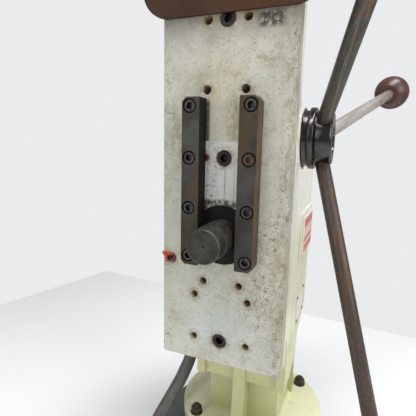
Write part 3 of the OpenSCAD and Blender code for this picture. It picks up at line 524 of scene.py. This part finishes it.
def rail_finish():
    """The rails: blue-grey in front, browner towards the right rail's outer side, black round the screws,
    with painted shade on the left rail's inner side.
    """
    s = Shader("rail_steel", metallic=0.2, specular=0.3)
    x, y, z = s.split()
    side = s.magnitude(x)
    blotch = s.noise(24, 6, 0.6)
    slow = s.noise(1, 5, 0.6, s.stretch((40, 40, 14)))
    colour = s.mix(s.ramp(blotch, 0.38, 0.62), srgb(70, 71, 69), srgb(54, 51, 45))
    colour = s.mix(s.times(s.ramp(slow, 0.45, 0.62), 0.75), colour, srgb(76, 60, 40))
    rightward = s.ramp(x, 0.03, 0.047)
    behind = s.ramp(y, PLATE_Y - 0.0215, PLATE_Y - 0.019)
    outer = s.times(rightward, s.either(behind, s.ramp(x, 0.0455, 0.0475)))
    brown = s.mix(s.ramp(slow, 0.35, 0.65), srgb(100, 74, 46), srgb(62, 48, 32))
    colour = s.mix(s.times(outer, 0.8), colour, brown)
    streak = s.ramp(s.noise(1, 3, 0.5, s.stretch((900, 900, 24))), 0.6, 0.72)
    colour = s.mix(s.times(streak, 0.3), colour, srgb(108, 104, 94))
    low = s.ramp(z, PLATE_Z + 0.24, PLATE_Z + 0.17)
    colour = s.mix(s.times(low, 0.35), colour, srgb(44, 40, 33))
    worn = s.times(s.edges(0.0011), s.ramp(s.noise(70, 4), 0.3, 0.6), 0.6)
    colour = s.mix(worn, colour, srgb(126, 112, 92))
    # Painted shade: the left rail's inner side, which faces +X, darkened nearly to black and made rougher
    shaded_inner_side = s.times(s.ramp(s.facing(0), 0.35, 0.6), s.ramp(x, -0.005, -0.015))
    colour = s.mix(s.times(shaded_inner_side, 0.95), colour, srgb(9, 8, 6))
    # The walls of the counterbores, told from the rail's own sides by how far out they are
    sunk = s.ramp(y, PLATE_Y - 0.0222, PLATE_Y - 0.0205)
    sideways = s.ramp(s.magnitude(s.facing(1)), 0.3, 0.1)
    walls = s.times(sunk, sideways, s.ramp(side, 0.0260, 0.0266), s.ramp(side, 0.0470, 0.0466))
    colour = s.mix(s.times(walls, 0.9), colour, srgb(14, 13, 12))
    height = s.add(s.noise(300, 4, 0.65), s.times(streak, -0.7), s.times(slow, 1.5))
    shine = s.add(s.ramp(blotch, 0.3, 0.7, 0.36, 0.55), s.times(shaded_inner_side, 0.3))
    return s.done(colour, shine, s.bump(height, 0.00008))


def screw_finish(name, face, side, facing, rusty=(), worn_radius=None):
    """Black screws with rubbed, greyer faces. facing is the axis that the faces look along.

    rusty lists the x, z and radius of rusty spots. worn_radius is for the rail screws, which are rubbed
    in their middles only, in a row with one pitch.
    """
    s = Shader(name, metallic=0.25, specular=0.5)
    faces = s.ramp(s.magnitude(s.facing(facing)), 0.8, 0.95)
    rubbed = s.times(faces, s.ramp(s.noise(260, 4, 0.6), 0.3, 0.6))
    if worn_radius:
        x, _, z = s.split()
        across = s.maths("SUBTRACT", s.magnitude(x), RAIL_SCREW_X)
        along = s.maths("SUBTRACT", z, PLATE_Z + RAIL_SCREW_LOW)
        row = s.maths("PINGPONG", along, RAIL_SCREW_PITCH / 2)
        reach = s.maths("SQRT", s.add(s.times(across, across), s.times(row, row)))
        rubbed = s.times(rubbed, s.ramp(reach, worn_radius + 0.0006, worn_radius - 0.0004))
    colour = s.mix(rubbed, side, face)
    colour = s.mix(s.times(s.ramp(s.noise(180, 4, 0.7), 0.55, 0.7), 0.5), colour, srgb(88, 66, 46))
    for x, z, reach in rusty:
        away = s.gap((x, 0, z), s.stretch((1, 0, 1)))
        uneven = s.ramp(s.noise(300, 3), 0.25, 0.55, 0.5, 1.0)
        spot = s.times(s.ramp(away, reach, reach * 0.7), uneven)
        colour = s.mix(s.times(spot, 0.85), colour, srgb(138, 86, 46))
    return s.done(colour, 0.42, s.bump(s.noise(700, 3), 0.00004))


def turned(name, dark, light, rust, centre, axis, roughness, metallic=0.5, rings=900, coat=0.0, patchy=0.5,
           wear=0.9, relief=0.00005, specular=0.5):
    """Turned metal: fine rings round an axis through centre, with patchy tone."""
    s = Shader(name, metallic=metallic, specular=specular, coat=coat)
    scale = [1, 1, 1]
    scale[axis] = 0
    flat = s.stretch(tuple(scale))
    point = [c if i != axis else 0 for i, c in enumerate(centre)]
    radius = s.gap(tuple(point), flat)
    along = s.split()[axis]
    on_face = s.ramp(s.magnitude(s.facing(axis)), 0.6, 0.9)
    on_side = s.maths("SUBTRACT", 1.0, on_face)
    groove = s.node("TexNoise", noise_dimensions="1D")
    groove.inputs["Scale"].default_value = rings
    groove.inputs["Detail"].default_value = 5
    s.feed(groove.inputs["W"], s.add(s.times(radius, on_face), s.times(along, on_side)))
    lines = groove.outputs["Fac"]
    patch = s.noise(60, 5, 0.62)
    colour = s.mix(s.ramp(patch, 0.35, 0.68), dark, light)
    colour = s.mix(s.times(s.ramp(lines, 0.5, 0.72), 0.4), colour, light)
    colour = s.mix(s.times(s.ramp(s.noise(150, 5, 0.7), 0.56, 0.7), patchy), colour, rust)
    worn = s.times(s.edges(0.0009), s.ramp(s.noise(90, 3), 0.2, 0.5))
    pale = tuple(min(1, c * 3.2) for c in light[:3]) + (1,)
    colour = s.mix(s.times(worn, wear), colour, pale)
    height = s.add(s.times(lines, 1.2), s.times(s.noise(500, 3), 0.4))
    return s.done(colour, s.ramp(patch, 0.3, 0.7, roughness, roughness + 0.12), s.bump(height, relief))


def knob_finish():
    """The ball knobs: swirled brown plastic with scuffs."""
    s = Shader("knob_plastic", specular=0.6)
    swirl = s.noise(30, 5, 0.6)
    colour = s.mix(s.ramp(swirl, 0.35, 0.7), srgb(62, 30, 26), srgb(82, 44, 37))
    scuffs = s.ramp(s.noise(1, 5, 0.7, s.stretch((90, 240, 160))), 0.62, 0.74)
    colour = s.mix(s.times(scuffs, 0.35), colour, srgb(120, 98, 88))
    return s.done(colour, s.ramp(scuffs, 0, 1, 0.38, 0.5), s.bump(s.add(scuffs, s.noise(120, 3)), 0.00003))


def label_finish(name, main, faded, stripes, low, high):
    """A blank label: faded ink with plain bands where the real one is printed, and a pale margin."""
    s = Shader(name, coat=0.1)
    _, y, z = s.split()
    colour = s.mix(s.ramp(s.noise(70, 5, 0.7), 0.4, 0.66), main, faded)
    inside = s.times(s.between(y, low[1] + 0.004, high[1] - 0.004, 0.0003),
                     s.between(z, low[2] + 0.004, high[2] - 0.004, 0.0003))
    band = None
    for start, end in stripes:
        part = s.between(z, low[2] + start, low[2] + end, 0.0004)
        band = part if band is None else s.either(band, part)
    broken = s.ramp(s.noise(160, 4, 0.7), 0.38, 0.5)
    colour = s.mix(s.times(band, inside, broken, 0.85), colour, srgb(226, 216, 206))
    colour = s.mix(s.maths("SUBTRACT", 1.0, inside), colour, srgb(222, 214, 204))
    scuffs = s.ramp(s.noise(1, 4, 0.7, s.stretch((200, 60, 240))), 0.62, 0.7)
    colour = s.mix(s.times(scuffs, 0.6), colour, srgb(196, 186, 172))
    return s.done(colour, 0.4, s.bump(s.noise(300, 3), 0.00002))


def tab_paint():
    """The orange tab: thick chipped paint, worn to black round its right side."""
    s = Shader("orange_paint", specular=0.6, coat=0.2)
    x, _, z = s.split()
    low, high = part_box("pointer_ring")
    colour = s.mix(s.ramp(s.noise(160, 5, 0.7), 0.4, 0.62), srgb(214, 84, 22), srgb(178, 52, 26))
    chipped = s.ramp(s.add(x, s.times(s.noise(260, 5, 0.7), 0.012)), high[0] - 0.0005, high[0] + 0.0012)
    edge = s.times(s.edges(0.0012), s.ramp(s.noise(220, 4), 0.3, 0.5))
    bottom = s.ramp(s.add(z, s.times(s.noise(240, 4), -0.006)), low[2] - 0.0008, low[2] - 0.0022)
    colour = s.mix(s.times(s.either(chipped, edge, bottom), 0.92), colour, srgb(44, 26, 22))
    return s.done(colour, s.ramp(s.noise(90, 3), 0.3, 0.7, 0.28, 0.5), s.bump(s.noise(260, 4, 0.7), 0.0003))


def make_paints():
    """The castings, covers and plate."""
    return {
        "cream_paint": paint("cream_paint", srgb(206, 207, 158), srgb(215, 216, 172), srgb(150, 150, 112),
                             srgb(112, 108, 92), 0.36, faded=srgb(214, 214, 194)),
        "brown_paint": paint("brown_paint", srgb(57, 34, 16), srgb(69, 42, 20), srgb(60, 46, 18),
                             srgb(104, 90, 74), 0.5, 0.00005, grime=0.5, coat=0.0, specular=0.25),
        "base_paint": paint("base_paint", srgb(84, 86, 86), srgb(96, 98, 97), srgb(64, 62, 56),
                            srgb(128, 122, 112), 0.42),
        "orange_paint": tab_paint(),
        "plate_steel": plate_paint(),
        "rail_steel": rail_finish(),
    }


def make_screw_steels():
    """Screws, by the way that their heads face, and the other fasteners."""
    grey, black = srgb(88, 86, 80), srgb(17, 16, 15)
    rusty = ((RAIL_SCREW_X, PLATE_Z + RAIL_SCREW_LOW + 2 * RAIL_SCREW_PITCH, 0.0052),
             (-RAIL_SCREW_X, PLATE_Z + RAIL_SCREW_LOW, 0.0045))
    return {
        "black_screws": screw_finish("black_screws", srgb(30, 29, 26), black, 1),
        "side_screws": screw_finish("side_screws", grey, black, 0),
        "top_screws": screw_finish("top_screws", grey, black, 2),
        "rail_screws": screw_finish("rail_screw_steel", grey, black, 1, rusty=rusty, worn_radius=0.0058),
        "stud_steel": rusted_steel("stud_steel", srgb(56, 54, 50), srgb(74, 58, 44), srgb(112, 74, 46),
                                   90, 0.45),
        "rusty_screw": rusted_steel("rusty_screw", srgb(112, 74, 54), srgb(132, 80, 54), srgb(88, 54, 38),
                                    200, 0.6, 0.1),
    }


def make_turned_steels():
    """The ram, its bushes, the hub and the shafts."""
    ram_axis = (0, 0, RAM_Z)
    capstan_axis = (0, CAPSTAN_Y, CAPSTAN_Z)
    return {
        "dark_bush": turned("dark_bush", srgb(21, 19, 15), srgb(30, 27, 21), srgb(34, 26, 17), ram_axis, 1,
                            0.5, 0.1, wear=0.3, specular=0.2),
        "ram_steel": turned("ram_steel", srgb(30, 30, 26), srgb(60, 59, 52), srgb(46, 36, 25), ram_axis, 1,
                            0.42, 0.3),
        "bronze": turned("bronze", srgb(150, 112, 62), srgb(184, 146, 90), srgb(104, 74, 40), ram_axis, 1,
                         0.3, 0.9),
        "machined_steel": turned("machined_steel", srgb(128, 128, 124), srgb(164, 164, 160),
                                 srgb(110, 100, 84), capstan_axis, 0, 0.28, 0.9, patchy=0.25),
        "black_oxide": turned("black_oxide", srgb(64, 62, 61), srgb(80, 78, 76), srgb(88, 60, 52),
                              capstan_axis, 0, 0.16, 0.95, 700, 0.0, 0.3, wear=0.12, relief=0.000008),
    }


def make_arm_finishes():
    """The three arms, each streaked along its own length, and their knobs."""
    return {
        "upper_bar": bar_finish("upper_bar", "upper", srgb(58, 57, 53), srgb(96, 93, 86), srgb(112, 78, 56),
                                0.5, 0.42, 0.6, srgb(142, 138, 130), 0.7),
        "lower_bar": bar_finish("lower_bar", "lower", srgb(66, 60, 56), srgb(82, 68, 58), srgb(88, 66, 52),
                                0.6, 0.42, 0.5, srgb(124, 116, 108), 0.5),
        "bright_bar": bar_finish("bright_bar", "rear", srgb(236, 231, 224), srgb(214, 205, 195),
                                 srgb(196, 180, 166), 0.05, 0.22, 0.8, srgb(246, 243, 238), 0.5, relief=0.0),
        "knob_plastic": knob_finish(),
    }


def make_label_finishes():
    """The two blank labels, their rivets, and the conduit with its fittings."""
    return {
        "red_label": label_finish("red_label", srgb(196, 88, 82), srgb(206, 128, 120),
                                  ((0.016, 0.022), (0.029, 0.047)), *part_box("emblem_plate")),
        "pale_label": label_finish("pale_label", srgb(226, 222, 218), srgb(214, 206, 200),
                                   ((0.010, 0.012), (0.02, 0.022)), *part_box("data_plate")),
        "rivet_metal": rusted_steel("rivet_metal", srgb(104, 90, 72), srgb(84, 64, 48), srgb(72, 50, 38),
                                    300, 0.45, 0.5),
        "fitting_metal": rusted_steel("fitting_metal", srgb(112, 110, 104), srgb(92, 84, 74),
                                      srgb(104, 72, 52), 70, 0.4, 0.6),
        "conduit_grey": rusted_steel("conduit_grey", srgb(88, 89, 89), srgb(80, 74, 68), srgb(118, 80, 58),
                                     46, 0.4, 0.1, (0.42, 0.7), srgb(120, 119, 116), 0.35),
    }


materials = {**make_paints(), **make_screw_steels(), **make_turned_steels(), **make_arm_finishes(),
             **make_label_finishes()}
slots = {part["node"]: part["material_slot"] for part in frame["record"]["subparts"]}
SPECIAL = {
    "rail_screws": "rail_screws", "end_cap_screws": "side_screws", "carrier_screws": "side_screws",
    "hub_end_screw": "side_screws", "top_cover_bolts": "top_screws", "base_cover_screws": "top_screws",
    "handle_bar_upper": "upper_bar", "handle_bar_lower": "lower_bar", "handle_bar_rear": "bright_bar",
}
ROUNDING = {"main_casting": 0.0012, "base_casting": 0.0012, "top_cover": 0.0012, "top_cover_back": 0.001}
SMALL_ROUNDING = 0.0006
NOT_ROUNDED = ("rack_pinion", "driven_gear", "capstan_shaft", "ram", "conduit",
               "ball_knob_upper", "ball_knob_lower", "ball_knob_rear")


def give_finish(name, thing):
    """Puts a node's material on it: its own one from SPECIAL, or its slot's."""
    finish = materials[SPECIAL.get(name, slots[name])]
    if thing.data.materials:
        for slot in thing.material_slots:
            slot.link = "OBJECT"
            slot.material = finish
    else:
        thing.data.materials.append(finish)


def round_edges(thing, width):
    """Small round edges that catch the light."""
    weld = thing.modifiers.new("weld", "WELD")
    weld.merge_threshold = 1e-6
    bevel = thing.modifiers.new("round", "BEVEL")
    bevel.width = width
    bevel.segments = 2
    bevel.limit_method = "ANGLE"
    bevel.angle_limit = 0.6
    bevel.use_clamp_overlap = True


for name, thing in nodes.items():
    give_finish(name, thing)
    if name not in NOT_ROUNDED:
        round_edges(thing, ROUNDING.get(name, SMALL_ROUNDING))


# ---------------------------------------------------------------- conduit
def smooth_line(points, steps):
    """A Catmull-Rom curve through the points, with this many steps between each two."""
    last = len(points) - 1
    line = []
    for i in range(last):
        before, start, end, after = points[max(i - 1, 0)], points[i], points[i + 1], points[min(i + 2, last)]
        for k in range(steps):
            t = k / steps
            line.append(0.5 * (2 * start + (end - before) * t
                               + (2 * before - 5 * start + 4 * end - after) * t ** 2
                               + (3 * start - before - 3 * end + after) * t ** 3))
    line.append(points[-1])
    return line


def tube_mesh(name, line, radius, sides):
    """A closed round tube along a line."""
    verts, faces = [], []
    across = Vector((0, 1, 0))
    for i, point in enumerate(line):
        ahead = line[min(i + 1, len(line) - 1)] - line[max(i - 1, 0)]
        side = across.cross(ahead).normalized()
        across = ahead.cross(side).normalized()
        for k in range(sides):
            turn = 2 * math.pi * k / sides
            verts.append(point + radius * (math.cos(turn) * side + math.sin(turn) * across))
    for i in range(len(line) - 1):
        for k in range(sides):
            a, b = i * sides + k, i * sides + (k + 1) % sides
            faces.append((a, a + sides, b + sides, b))
    faces.append(tuple(range(sides)))
    faces.append(tuple(reversed(range(len(verts) - sides, len(verts)))))
    mesh = bpy.data.meshes.new(name)
    mesh.from_pydata(verts, [], faces)
    mesh.validate()
    for face in mesh.polygons:
        face.use_smooth = len(face.vertices) == 4
    return mesh


def make_sleeve():
    """The conduit's smooth sleeve, on the same route and radius as its CAD solid."""
    # The route of part.scad, turned into metres
    route = [Vector(p) / 1000 for p in (
        (-90, -18, 252), (-97, -19, 251), (-104, -22, 246), (-109, -26, 237), (-111, -30, 225),
        (-112, -35, 208), (-113, -42, 191), (-116, -54, 177), (-119, -69, 163), (-123, -84, 151),
        (-127, -99, 139), (-132, -112, 126), (-137, -123, 112), (-141, -130, 96), (-144, -134, 80),
        (-146, -135.7, 66), (-146.1, -135.9, 52))]
    mesh = tube_mesh("conduit_sleeve", smooth_line(route, 6), CONDUIT_RADIUS, 36)
    mesh.materials.append(materials["conduit_grey"])
    sleeve = bpy.data.objects.new("conduit_sleeve", mesh)
    bpy.context.collection.objects.link(sleeve)
    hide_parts("conduit")
    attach(sleeve, "frame")


make_sleeve()
